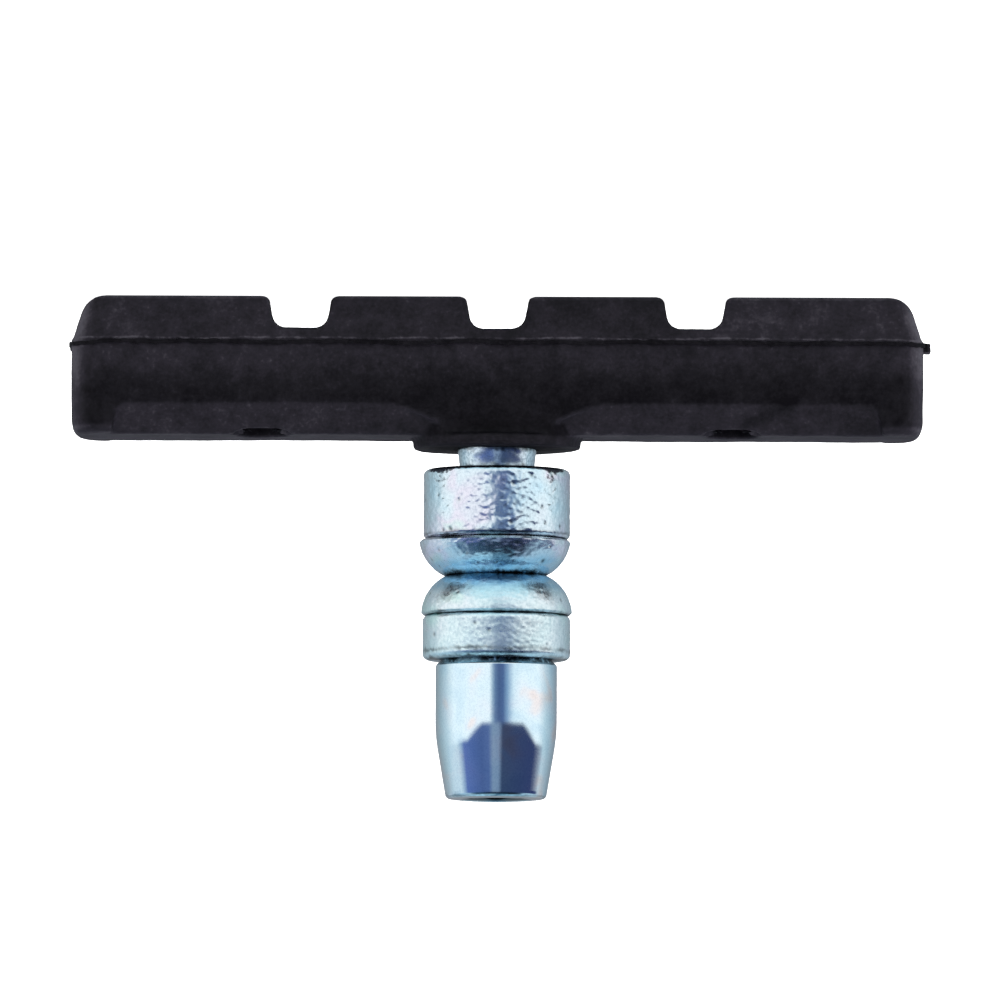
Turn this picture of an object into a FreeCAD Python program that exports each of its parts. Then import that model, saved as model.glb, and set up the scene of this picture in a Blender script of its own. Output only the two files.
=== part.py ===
"""Threaded-post brake pad for a linear-pull rim brake.

The pad stands on its friction face. The origin is the middle of that face, +X runs along the rubber block
and +Z runs up the stud to the nut. All lengths are in millimetres.
"""
import FreeCAD, Part
import Sketcher
import math
import os
from types import SimpleNamespace

SIZES = {
    # Rubber block
    "pad_length": 70.0,
    "pad_width": 10.5,
    "pad_corner_radius": 2.6,
    "parting_height": 3.9,
    "back_height": 11.4,
    "back_edge_radius": 1.1,
    "friction_length": 67.6,
    "friction_width": 8.6,
    "friction_corner_radius": 2.0,
    "friction_edge_radius": 0.4,
    "end_round_radius": 2.1,
    "end_round_run": 1.57,
    "end_round_rise": 1.5,
    "flash_reach": 0.25,
    "flash_thickness": 0.4,
    # Cross grooves in the friction face
    "groove_pitch": 16.2,
    "groove_width": 4.95,
    "groove_foot_width": 4.55,
    "groove_floor_width": 2.4,
    "groove_depth": 2.65,
    "groove_lip_radius": 0.6,
    "groove_floor_rise": 0.97,
    "groove_floor_radius": 1.08,
    # Long chamfers on the back, which stop at the hub and before the ends
    "back_width": 7.4,
    "chamfer_rise": 2.6,
    "hub_length_at_wall": 17.8,
    "hub_length_at_back": 4.4,
    "end_land_at_wall": 3.9,
    "end_land_at_back": 3.3,
    # Boss around the stud, and the holes that the mould's pins leave
    "boss_diameter": 13.8,
    "boss_height": 0.95,
    "boss_edge_radius": 0.2,
    "pin_hole_diameter": 4.1,
    "pin_hole_spacing": 38.6,
    "pin_hole_offset": 1.7,
    # Steel strip moulded into the rubber
    "plate_length": 58.0,
    "plate_width": 8.2,
    "plate_thickness": 1.6,
    "plate_corner_radius": 2.0,
    "plate_cover": 2.2,
    # Stud
    "rivet_diameter": 7.6,
    "rivet_height": 1.2,
    "collar_root_diameter": 6.5,
    "collar_end_diameter": 6.1,
    "collar_exposed": 1.65,
    "shank_diameter": 5.85,
    "shank_chamfer": 0.6,
    "thread_grip": 5.7,
    # Cup washers
    "cup_bore_clearance": 0.15,
    "cup_mouth_diameter": 10.6,
    "cup_depth": 0.94,
    "cup_seat_clearance": 0.15,
    "thick_cup_diameter": 12.05,
    "thick_cup_thickness": 5.8,
    "thin_cup_diameter": 12.15,
    "thin_cup_thickness": 3.7,
    "cup_edge_radius": 0.5,
    # Dome washers
    "dome_rim_diameter": 12.4,
    "dome_neck_diameter": 8.3,
    "dome_bore_diameter": 7.2,
    "inner_dome_height": 2.95,
    "outer_dome_height": 3.25,
    "dome_arc_radius": 3.6,
    "dome_rim_radius": 0.2,
    "inner_dome_offset": 0.15,
    # Barrel nut
    "nut_diameter": 10.0,
    "nut_length": 11.5,
    "nut_plain_length": 6.2,
    "nut_end_diameter": 8.25,
    "nut_end_radius": 0.4,
    "nut_seat_chamfer": 0.45,
    "nut_bore_clearance": 0.1,
    "socket_across_flats": 5.0,
    "socket_depth": 4.95,
    "socket_mouth_diameter": 6.1,
    "socket_mouth_depth": 0.3,
    # How far a cutting shape reaches past the solid that it cuts
    "cut_margin": 1.0,
}

FLAT_TOLERANCE = 1e-6
LEFT_TURN = 1
RIGHT_TURN = -1


class Size:
    """A length that carries its number and the sheet formula that gives it."""

    def __init__(self, number, formula):
        self.number = number
        self.formula = formula

    def __add__(self, other):
        return Size(self.number + other.number, f"({self.formula} + {other.formula})")

    def __sub__(self, other):
        return Size(self.number - other.number, f"({self.formula} - {other.formula})")

    def __mul__(self, factor):
        if isinstance(factor, Size):
            return Size(self.number * factor.number, f"({self.formula} * {factor.formula})")
        return Size(self.number * factor, f"({self.formula} * {factor})")

    def __truediv__(self, divisor):
        if isinstance(divisor, Size):
            return Size(self.number / divisor.number, f"({self.formula} / {divisor.formula})")
        return Size(self.number / divisor, f"({self.formula} / {divisor})")


ZERO = Size(0.0, "0")

doc = FreeCAD.newDocument("brake_pad")
sheet = doc.addObject("Spreadsheet::Sheet", "sizes")
for row, (alias, length) in enumerate(SIZES.items(), start=1):
    sheet.set(f"A{row}", alias)
    sheet.set(f"B{row}", str(length))
    sheet.setAlias(f"B{row}", alias)
doc.recompute()
size = SimpleNamespace(**{alias: Size(length, f"sizes.{alias}") for alias, length in SIZES.items()})

# Heights of the stack, from the friction face up to the end of the nut
plate_top = size.back_height - size.plate_cover
plate_bottom = plate_top - size.plate_thickness
rivet_bottom = plate_bottom - size.rivet_height
boss_top = size.back_height + size.boss_height
thick_cup_bottom = boss_top + size.collar_exposed
inner_dome_bottom = thick_cup_bottom + size.thick_cup_thickness
dome_meeting = inner_dome_bottom + size.inner_dome_height
thin_cup_bottom = dome_meeting + size.outer_dome_height
nut_bottom = thin_cup_bottom + size.thin_cup_thickness
nut_top = nut_bottom + size.nut_length
shank_top = nut_bottom + size.thread_grip

# Sizes that two mating pieces share
shank_radius = size.shank_diameter / 2
collar_root_radius = size.collar_root_diameter / 2
rivet_radius = size.rivet_diameter / 2
cup_bore_radius = (size.shank_diameter + size.cup_bore_clearance) / 2
cup_seat_radius = size.dome_arc_radius + size.cup_seat_clearance
half_length = size.pad_length / 2
half_width = size.pad_width / 2


def new_body(label):
    """An empty body whose label names the piece."""
    body = doc.addObject("PartDesign::Body", label)
    body.Label = label
    return body


def new_sketch(body, name, plane_role, height=ZERO):
    """A sketch on one of the body's origin planes, raised by height along the plane's normal."""
    plane = next(item for item in body.Origin.OriginFeatures if item.Role == plane_role)
    sketch = body.newObject("Sketcher::SketchObject", name)
    sketch.AttachmentSupport = [(plane, "")]
    sketch.MapMode = "FlatFace"
    sketch.AttachmentOffset = FreeCAD.Placement(FreeCAD.Vector(0, 0, height.number), FreeCAD.Rotation())
    sketch.setExpression("AttachmentOffset.Base.z", height.formula)
    return sketch


def bind_constraint(sketch, length, *constraint):
    """Adds a dimension to the sketch and ties it to the sheet."""
    index = sketch.addConstraint(Sketcher.Constraint(*constraint, length.number))
    name = f"size_{index}"
    sketch.renameConstraint(index, name)
    sketch.setExpression(f"Constraints.{name}", length.formula)


def pin_point(sketch, point, across, up):
    """Holds a point of the sketch at its two coordinates."""
    origin = (-1, 1)
    x_axis, y_axis = -1, -2
    if across is ZERO:
        sketch.addConstraint(Sketcher.Constraint("PointOnObject", *point, y_axis))
    else:
        bind_constraint(sketch, across, "DistanceX", *origin, *point)
    if up is ZERO:
        sketch.addConstraint(Sketcher.Constraint("PointOnObject", *point, x_axis))
    else:
        bind_constraint(sketch, up, "DistanceY", *origin, *point)


def arc_between(start, end, radius, turn):
    """The short arc from start to end, which turns left or right on the way."""
    chord = end - start
    rise = math.sqrt(max(radius ** 2 - (chord.Length / 2) ** 2, 0.0))
    to_left = FreeCAD.Vector(-chord.y, chord.x, 0).normalize()
    centre = (start + end) / 2 + to_left * rise * turn
    first, last = (start, end) if turn == LEFT_TURN else (end, start)
    first_angle = math.atan2(first.y - centre.y, first.x - centre.x)
    last_angle = math.atan2(last.y - centre.y, last.x - centre.x)
    circle = Part.Circle(centre, FreeCAD.Vector(0, 0, 1), radius)
    return Part.ArcOfCircle(circle, first_angle, last_angle)


def draw_loop(sketch, corners):
    """A closed outline. A corner is (x, y), or (x, y, radius, turn) where an arc leaves it."""
    places = [FreeCAD.Vector(corner[0].number, corner[1].number, 0) for corner in corners]
    edges = []
    for index, corner in enumerate(corners):
        start, end = places[index], places[(index + 1) % len(corners)]
        if len(corner) == 2:
            geometry = sketch.addGeometry(Part.LineSegment(start, end), False)
            edges.append(((geometry, 1), (geometry, 2)))
            continue
        radius, turn = corner[2:]
        geometry = sketch.addGeometry(arc_between(start, end, radius.number, turn), False)
        ends = ((geometry, 1), (geometry, 2))
        edges.append(ends if turn == LEFT_TURN else ends[::-1])
    for index, corner in enumerate(corners):
        arriving, leaving = edges[index - 1][1], edges[index][0]
        sketch.addConstraint(Sketcher.Constraint("Coincident", *arriving, *leaving))
        pin_point(sketch, leaving, corner[0], corner[1])
        if len(corner) > 2:
            bind_constraint(sketch, corner[2], "Radius", leaving[0])


def draw_circle(sketch, across, up, radius):
    """A circle with its centre held at two coordinates."""
    centre = FreeCAD.Vector(across.number, up.number, 0)
    geometry = sketch.addGeometry(Part.Circle(centre, FreeCAD.Vector(0, 0, 1), radius.number), False)
    pin_point(sketch, (geometry, 3), across, up)
    bind_constraint(sketch, radius, "Radius", geometry)


def rounded_rectangle(length, width, radius):
    """The corners of a rectangle about the origin, with its four corners rounded."""
    x, y = length / 2, width / 2
    return [
        (x * -1 + radius, y * -1),
        (x - radius, y * -1, radius, LEFT_TURN),
        (x, y * -1 + radius),
        (x, y - radius, radius, LEFT_TURN),
        (x - radius, y),
        (x * -1 + radius, y, radius, LEFT_TURN),
        (x * -1, y - radius),
        (x * -1, y * -1 + radius, radius, LEFT_TURN),
    ]


def extrude(body, kind, name, sketch, length, symmetric=False):
    """A pad or pocket of the sketch."""
    feature = body.newObject(f"PartDesign::{kind}", name)
    feature.Profile = sketch
    feature.setExpression("Length", length.formula)
    feature.SideType = "Symmetric" if symmetric else "One side"
    return feature


def turn_profile(body, kind, name, corners):
    """A revolution or groove: the profile's x is the radius and its y is the height on the stud's axis."""
    sketch = new_sketch(body, f"{name}_profile", "XZ_Plane")
    draw_loop(sketch, corners)
    feature = body.newObject(f"PartDesign::{kind}", name)
    feature.Profile = sketch
    feature.ReferenceAxis = (sketch, ["V_Axis"])
    feature.Angle = 360
    return feature


def loft_between(body, kind, name, lower, upper):
    """A straight-sided loft between two outlines, each given as its height and its corners."""
    sections = []
    for part, (height, corners) in zip(("lower", "upper"), (lower, upper)):
        sketch = new_sketch(body, f"{name}_{part}", "XY_Plane", height)
        draw_loop(sketch, corners)
        sections.append(sketch)
    feature = body.newObject(f"PartDesign::{kind}", name)
    feature.Profile = sections[0]
    feature.Sections = sections[1:]
    feature.Ruled = True
    return feature


def round_edges(body, name, base, radius, height):
    """Rounds every edge of the feature that lies flat at the given height."""
    doc.recompute()
    flat_edges = []
    for index, edge in enumerate(base.Shape.Edges, start=1):
        box = edge.BoundBox
        if max(abs(box.ZMin - height.number), abs(box.ZMax - height.number)) < FLAT_TOLERANCE:
            flat_edges.append(f"Edge{index}")
    fillet = body.newObject("PartDesign::Fillet", name)
    fillet.Base = (base, flat_edges)
    fillet.setExpression("Radius", radius.formula)
    return fillet


def groove_outline(middle):
    """One cross groove seen from the side, with rolled lips, drafted walls and a rounded floor."""
    wall, foot, floor = size.groove_width / 2, size.groove_foot_width / 2, size.groove_floor_width / 2
    lip, bend, depth = size.groove_lip_radius, size.groove_floor_radius, size.groove_depth
    bend_start = depth - size.groove_floor_rise
    below = size.cut_margin * -1
    return [
        (middle - wall - lip, ZERO, lip, LEFT_TURN),
        (middle - wall, lip),
        (middle - foot, bend_start, bend, RIGHT_TURN),
        (middle - floor, depth),
        (middle + floor, depth, bend, RIGHT_TURN),
        (middle + foot, bend_start),
        (middle + wall, lip, lip, LEFT_TURN),
        (middle + wall + lip, ZERO),
        (middle + wall + lip, below),
        (middle - wall - lip, below),
    ]


def end_round_outline(side):
    """What is cut, from well past one end, so that the drafted end rolls into the friction face."""
    friction_half = size.friction_length / 2
    draft = (half_length - friction_half) / size.parting_height
    rise, below = size.end_round_rise, size.cut_margin * -1
    outside = size.pad_length * side
    return [
        ((friction_half - size.end_round_run) * side, ZERO),
        ((friction_half - size.end_round_run) * side, below),
        (outside, below),
        (outside, rise),
        ((friction_half + draft * rise) * side, rise, size.end_round_radius, RIGHT_TURN * side),
    ]


def chamfer_outline(x_side, y_side, hub_half, end, inner):
    """One section of a back chamfer: from the hub to the end land, and from inner out past the wall."""
    outside = half_width + size.cut_margin
    return [
        (hub_half * x_side, inner * y_side),
        (end * x_side, inner * y_side),
        (end * x_side, outside * y_side),
        (hub_half * x_side, outside * y_side),
    ]


def flush_cut_outline(side, reach):
    """What is cut off outside one long wall, as far as reach along the block and across it."""
    return [
        (reach * -1, half_width * side),
        (reach, half_width * side),
        (reach, (half_width + reach) * side),
        (reach * -1, (half_width + reach) * side),
    ]


def stud_root_outline():
    """The buried root of the stud: its rivet head under the strip and its collar up through the boss."""
    return [
        (ZERO, rivet_bottom),
        (rivet_radius, rivet_bottom),
        (rivet_radius, plate_bottom),
        (collar_root_radius, plate_bottom),
        (collar_root_radius, boss_top),
    ]


def make_rubber_block():
    """The moulded block: two drafted halves that meet at the parting line, then its cuts and its boss."""
    body = new_body("rubber_block")
    middle_plan = rounded_rectangle(size.pad_length, size.pad_width, size.pad_corner_radius)
    friction_plan = rounded_rectangle(size.friction_length, size.friction_width, size.friction_corner_radius)
    back_sketch = new_sketch(body, "back_half_plan", "XY_Plane", size.parting_height)
    draw_loop(back_sketch, middle_plan)
    back_half = extrude(body, "Pad", "back_half", back_sketch, size.back_height - size.parting_height)
    round_edges(body, "back_edge", back_half, size.back_edge_radius, size.back_height)
    lower, upper = (ZERO, friction_plan), (size.parting_height, middle_plan)
    friction_half = loft_between(body, "AdditiveLoft", "friction_half", lower, upper)
    round_edges(body, "friction_edge", friction_half, size.friction_edge_radius, ZERO)

    # The thin fin that the two halves of the mould leave all round
    fin_reach = size.flash_reach * 2
    fin_sketch = new_sketch(body, "flash_plan", "XY_Plane", size.parting_height)
    fin_corner = size.pad_corner_radius + size.flash_reach
    draw_loop(fin_sketch, rounded_rectangle(size.pad_length + fin_reach, size.pad_width + fin_reach, fin_corner))
    extrude(body, "Pad", "flash", fin_sketch, size.flash_thickness, symmetric=True)

    side_sketch = new_sketch(body, "grooves_and_ends", "XZ_Plane")
    for step in (-1, 0, 1):
        draw_loop(side_sketch, groove_outline(size.groove_pitch * step))
    for side in (1, -1):
        draw_loop(side_sketch, end_round_outline(side))
    cut_width = size.pad_width + size.cut_margin * 2
    extrude(body, "Pocket", "grooves", side_sketch, cut_width, symmetric=True)

    chamfer_start = size.back_height - size.chamfer_rise
    hub_at_wall, hub_at_back = size.hub_length_at_wall / 2, size.hub_length_at_back / 2
    end_at_wall, end_at_back = half_length - size.end_land_at_wall, half_length - size.end_land_at_back
    for x_side, y_side in ((1, 1), (1, -1), (-1, 1), (-1, -1)):
        at_wall = chamfer_outline(x_side, y_side, hub_at_wall, end_at_wall, half_width)
        at_back = chamfer_outline(x_side, y_side, hub_at_back, end_at_back, size.back_width / 2)
        name = f"chamfer_{'right' if x_side > 0 else 'left'}_{'far' if y_side > 0 else 'near'}"
        loft_between(body, "SubtractiveLoft", name, (chamfer_start, at_wall), (size.back_height, at_back))

    # The boss stands on a root that is as round as the boss but flush with the walls
    boss_radius = size.boss_diameter / 2
    root_sketch = new_sketch(body, "boss_root_plan", "XY_Plane", chamfer_start)
    draw_circle(root_sketch, ZERO, ZERO, boss_radius)
    extrude(body, "Pad", "boss_root", root_sketch, size.chamfer_rise)
    flush_sketch = new_sketch(body, "boss_root_flush_plan", "XY_Plane", size.back_height)
    for side in (1, -1):
        draw_loop(flush_sketch, flush_cut_outline(side, boss_radius + size.cut_margin))
    extrude(body, "Pocket", "boss_root_flush", flush_sketch, size.chamfer_rise)

    boss_sketch = new_sketch(body, "boss_plan", "XY_Plane", size.back_height)
    draw_circle(boss_sketch, ZERO, ZERO, boss_radius)
    boss = extrude(body, "Pad", "boss", boss_sketch, size.boss_height)
    round_edges(body, "boss_edge", boss, size.boss_edge_radius, boss_top)

    pin_sketch = new_sketch(body, "pin_holes_plan", "XY_Plane", size.back_height)
    for side in (1, -1):
        across = size.pin_hole_spacing / 2 * side
        draw_circle(pin_sketch, across, size.pin_hole_offset * -1, size.pin_hole_diameter / 2)
    extrude(body, "Pocket", "pin_holes", pin_sketch, size.plate_cover)

    plate_sketch = new_sketch(body, "plate_cavity_plan", "XY_Plane", plate_top)
    draw_loop(plate_sketch, rounded_rectangle(size.plate_length, size.plate_width, size.plate_corner_radius))
    extrude(body, "Pocket", "plate_cavity", plate_sketch, size.plate_thickness)
    turn_profile(body, "Groove", "stud_cavity", stud_root_outline() + [(ZERO, boss_top)])
    return body


def make_backing_plate():
    """The steel strip inside the rubber, with the hole that the stud is riveted in."""
    body = new_body("backing_plate")
    sketch = new_sketch(body, "strip_plan", "XY_Plane", plate_bottom)
    draw_loop(sketch, rounded_rectangle(size.plate_length, size.plate_width, size.plate_corner_radius))
    draw_circle(sketch, ZERO, ZERO, collar_root_radius)
    extrude(body, "Pad", "strip", sketch, size.plate_thickness)
    return body


def make_threaded_stud():
    """The stud: rivet head, buried root, tapered collar and the shank that carries the thread."""
    body = new_body("threaded_stud")
    above_boss = [
        (size.collar_end_diameter / 2, thick_cup_bottom),
        (shank_radius, thick_cup_bottom),
        (shank_radius, shank_top - size.shank_chamfer),
        (shank_radius - size.shank_chamfer, shank_top),
        (ZERO, shank_top),
    ]
    turn_profile(body, "Revolution", "turned_stud", stud_root_outline() + above_boss)
    return body


def make_cup_washer(label, bottom, thickness, diameter, seat_up):
    """A spacer with rounded edges and a shallow concave seat in its top or bottom face."""
    body = new_body(label)
    top = bottom + thickness
    edge, outer = size.cup_edge_radius, diameter / 2
    mouth = size.cup_mouth_diameter / 2
    rim = [
        (outer - edge, bottom, edge, LEFT_TURN),
        (outer, bottom + edge),
        (outer, top - edge, edge, LEFT_TURN),
        (outer - edge, top),
    ]
    if seat_up:
        seat = [(mouth, top, cup_seat_radius, RIGHT_TURN), (cup_bore_radius, top - size.cup_depth)]
        profile = [(cup_bore_radius, bottom)] + rim + seat
    else:
        seat = [(cup_bore_radius, bottom + size.cup_depth, cup_seat_radius, RIGHT_TURN), (mouth, bottom)]
        profile = [(cup_bore_radius, top)] + seat + rim
    turn_profile(body, "Revolution", f"{label}_turned", profile)
    return body


def make_dome_washer(label, flat_height, thickness, up):
    """A domed washer that stands on its flat side (up is 1) or hangs from it (up is -1)."""
    body = new_body(label)
    rim, neck, bore = size.dome_rim_diameter / 2, size.dome_neck_diameter / 2, size.dome_bore_diameter / 2
    edge = size.dome_rim_radius
    crown_height = flat_height + thickness * up
    profile = [
        (bore, flat_height),
        (rim - edge, flat_height, edge, LEFT_TURN * up),
        (rim, flat_height + edge * up, size.dome_arc_radius, LEFT_TURN * up),
        (neck, crown_height),
        (bore, crown_height),
    ]
    turn_profile(body, "Revolution", f"{label}_turned", profile)
    return body


def make_barrel_nut():
    """The nut: a turned barrel with a tapered end, its stud hole from below and its hex socket from above."""
    body = new_body("barrel_nut")
    outer, end, chamfer = size.nut_diameter / 2, size.nut_end_diameter / 2, size.nut_seat_chamfer
    bore = (size.shank_diameter + size.nut_bore_clearance) / 2
    bore_top = nut_top - size.socket_depth
    flat_radius = size.socket_across_flats / 2
    socket_start = nut_top - size.socket_mouth_depth
    profile = [
        (bore, nut_bottom),
        (outer - chamfer, nut_bottom),
        (outer, nut_bottom + chamfer),
        (outer, nut_bottom + size.nut_plain_length),
        (end, nut_top - size.nut_end_radius, size.nut_end_radius, LEFT_TURN),
        (end - size.nut_end_radius, nut_top),
        (size.socket_mouth_diameter / 2, nut_top),
        (flat_radius, socket_start),
        (ZERO, socket_start),
        (ZERO, bore_top),
        (bore, bore_top),
    ]
    turn_profile(body, "Revolution", "turned_barrel", profile)
    corner = flat_radius * (2 / math.sqrt(3))
    hexagon = [
        (corner, ZERO),
        (corner / 2, flat_radius),
        (corner / -2, flat_radius),
        (corner * -1, ZERO),
        (corner / -2, flat_radius * -1),
        (corner / 2, flat_radius * -1),
    ]
    sketch = new_sketch(body, "socket_plan", "XY_Plane", nut_top)
    draw_loop(sketch, hexagon)
    extrude(body, "Pocket", "hex_socket", sketch, size.socket_depth)
    return body


def check_document(bodies):
    """Stops the script where a feature failed or a piece is not one sound solid."""
    for item in doc.Objects:
        if {"Invalid", "Error"} & set(item.State):
            raise RuntimeError(f"{item.Label} failed: {item.State}")
    for body in bodies:
        shape = body.Shape
        if shape.isNull() or not shape.isValid() or len(shape.Solids) != 1:
            raise RuntimeError(f"{body.Label} is not one valid solid")
        box = shape.BoundBox
        print(f"{body.Label}: {shape.Volume:.2f} mm3, z {box.ZMin:.2f} to {box.ZMax:.2f}")


bodies = [
    make_rubber_block(),
    make_backing_plate(),
    make_threaded_stud(),
    make_cup_washer("thick_cup_washer", thick_cup_bottom, size.thick_cup_thickness, size.thick_cup_diameter, True),
    make_dome_washer("inner_dome_washer", inner_dome_bottom, size.inner_dome_height, 1),
    make_dome_washer("outer_dome_washer", thin_cup_bottom, size.outer_dome_height, -1),
    make_cup_washer("thin_cup_washer", thin_cup_bottom, size.thin_cup_thickness, size.thin_cup_diameter, False),
    make_barrel_nut(),
]
# The inner dome washer is loose on the stud and lies a little to one side
doc.getObject("inner_dome_washer").setExpression("Placement.Base.x", size.inner_dome_offset.formula)
doc.recompute()
check_document(bodies)

os.makedirs("parts", exist_ok=True)
for body in bodies:
    body.Shape.exportStep(f"parts/{body.Label}.step")
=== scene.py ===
# %% [markdown]
# # A rim brake pad: grooved rubber on a zinc-plated stud
# The pad stands on its friction face, with the stud, the washers and the barrel nut above it. The CAD model
# is loaded first and stays as it is: it says where every piece goes, and this lesson gives the pieces their
# looks.

# %% Load the CAD frame
import math
import random

import bmesh
import bpy
from mathutils import Matrix, Vector, noise


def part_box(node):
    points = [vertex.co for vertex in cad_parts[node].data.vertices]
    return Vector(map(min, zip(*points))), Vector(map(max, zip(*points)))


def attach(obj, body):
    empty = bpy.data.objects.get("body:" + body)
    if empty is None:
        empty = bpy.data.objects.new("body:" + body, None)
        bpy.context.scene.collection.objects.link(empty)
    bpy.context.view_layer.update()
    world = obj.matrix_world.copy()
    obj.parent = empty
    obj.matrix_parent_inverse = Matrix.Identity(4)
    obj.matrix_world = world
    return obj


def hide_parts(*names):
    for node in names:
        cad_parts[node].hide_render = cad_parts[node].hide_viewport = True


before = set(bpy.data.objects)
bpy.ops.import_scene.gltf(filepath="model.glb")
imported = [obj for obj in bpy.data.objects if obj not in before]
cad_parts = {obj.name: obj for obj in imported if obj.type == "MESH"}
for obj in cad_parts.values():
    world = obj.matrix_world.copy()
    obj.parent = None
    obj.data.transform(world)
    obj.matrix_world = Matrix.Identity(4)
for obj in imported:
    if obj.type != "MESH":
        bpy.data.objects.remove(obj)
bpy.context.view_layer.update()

MM = 0.001


def span(node):
    """The lowest and highest corner of a CAD node at rest, in mm."""
    low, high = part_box(node)
    return Vector(low) / MM, Vector(high) / MM


for node in sorted(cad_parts):
    low, high = span(node)
    print(f"{node}: z {low.z:.2f} to {high.z:.2f} mm, {high.y - low.y:.2f} mm deep")

# %% [markdown]
# ## Camera
# The part is seen from the side, a little from above, through a long lens, so lines that run away from us
# hardly converge. The picture is turned upside down, as such pads are usually shown: rubber above, nut
# below.

# %% Camera
CAMERA_DISTANCE, CAMERA_REACH = 2.0, 20.0
CAMERA_ELEVATION = math.radians(4.1)
CAMERA_ROLL = math.radians(180.2)
SENSOR_WIDTH = 36.0
PICTURE_WIDTH = 82.25 * MM
PICTURE_CENTRE = Vector((-0.255, 0.0, 16.48)) * MM

camera_data = bpy.data.cameras.new("camera")
camera_data.sensor_width = SENSOR_WIDTH
camera_data.lens = SENSOR_WIDTH * CAMERA_DISTANCE / PICTURE_WIDTH
camera_data.clip_end = CAMERA_REACH
camera = bpy.data.objects.new("camera", camera_data)
bpy.context.collection.objects.link(camera)
towards_camera = Vector((0.0, -math.cos(CAMERA_ELEVATION), math.sin(CAMERA_ELEVATION)))
aim = Matrix.Rotation(math.pi / 2 - CAMERA_ELEVATION, 4, "X") @ Matrix.Rotation(CAMERA_ROLL, 4, "Z")
camera.matrix_world = Matrix.Translation(PICTURE_CENTRE + towards_camera * CAMERA_DISTANCE) @ aim
bpy.context.scene.camera = camera
bpy.context.scene.view_settings.view_transform = "Standard"
print(f"lens {camera_data.lens:.0f} mm at {CAMERA_DISTANCE} m")

# %% [markdown]
# ## Tools for colour and nodes
# Colours are written as the hex values that a screen shows, and one function makes them linear. One more
# function adds any node: it sets the node's properties, fills its inputs and links what comes from other
# nodes.


# %% Colour and node helpers
def linear(hex_colour):
    """An sRGB hex colour as the linear values that shaders use."""
    channels = [int(hex_colour[i:i + 2], 16) / 255 for i in (1, 3, 5)]
    return [c / 12.92 if c <= 0.04045 else ((c + 0.055) / 1.055) ** 2.4 for c in channels] + [1.0]


def add_node(tree, kind, inputs=None, stops=None, **settings):
    """Adds a node. An input is a value or another node's output, and stops are a colour ramp's stops."""
    node = tree.nodes.new(kind)
    for name, value in settings.items():
        setattr(node, name, value)
    for socket, value in (inputs or {}).items():
        if isinstance(value, bpy.types.NodeSocket):
            tree.links.new(value, node.inputs[socket])
        else:
            node.inputs[socket].default_value = value
    if stops:
        elements = node.color_ramp.elements
        while len(elements) < len(stops):
            elements.new(1.0)
        for element, (place, colour) in zip(elements, stops):
            element.position = place
            element.color = linear(colour)
    return node


def scale_for(millimetres):
    """The scale of a pattern on Object coordinates whose features are this far apart."""
    return 1.0 / (millimetres * MM)


print("mid grey is", [round(c, 3) for c in linear("#808080")])

# %% [markdown]
# ## Studio
# Bright plating shows little but its surroundings, so the surroundings are designed. It is a white tent with
# dark blue cards: one low slit straight ahead draws the dark streak down each cylinder, and a broad card
# above it, with a sloping lower edge, darkens what tilts upwards. The tent is kept out of the diffuse light,
# because its blue would tint the rubber. Neutral softboxes and a lit white table light the rubber instead.

# %% Directions in the tent
world = bpy.data.worlds.new("white_tent")
bpy.context.scene.world = world
world.use_nodes = True
world.cycles_visibility.diffuse = False
tent = world.node_tree
tent.nodes.clear()
direction = add_node(tent, "ShaderNodeTexCoord").outputs["Generated"]
axes = add_node(tent, "ShaderNodeSeparateXYZ", {0: direction}).outputs
minus_x = add_node(tent, "ShaderNodeMath", {0: axes[0], 1: -1.0}, operation="MULTIPLY").outputs[0]
minus_y = add_node(tent, "ShaderNodeMath", {0: axes[1], 1: -1.0}, operation="MULTIPLY").outputs[0]
bearing = add_node(tent, "ShaderNodeMath", {0: minus_x, 1: minus_y}, operation="ARCTAN2").outputs[0]
height = add_node(tent, "ShaderNodeMath", {0: axes[2]}, operation="ARCSINE").outputs[0]
turn = add_node(tent, "ShaderNodeMapRange", {0: bearing, 1: -math.pi, 2: math.pi}).outputs[0]
print("nodes for the tent's directions:", len(tent.nodes))

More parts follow.
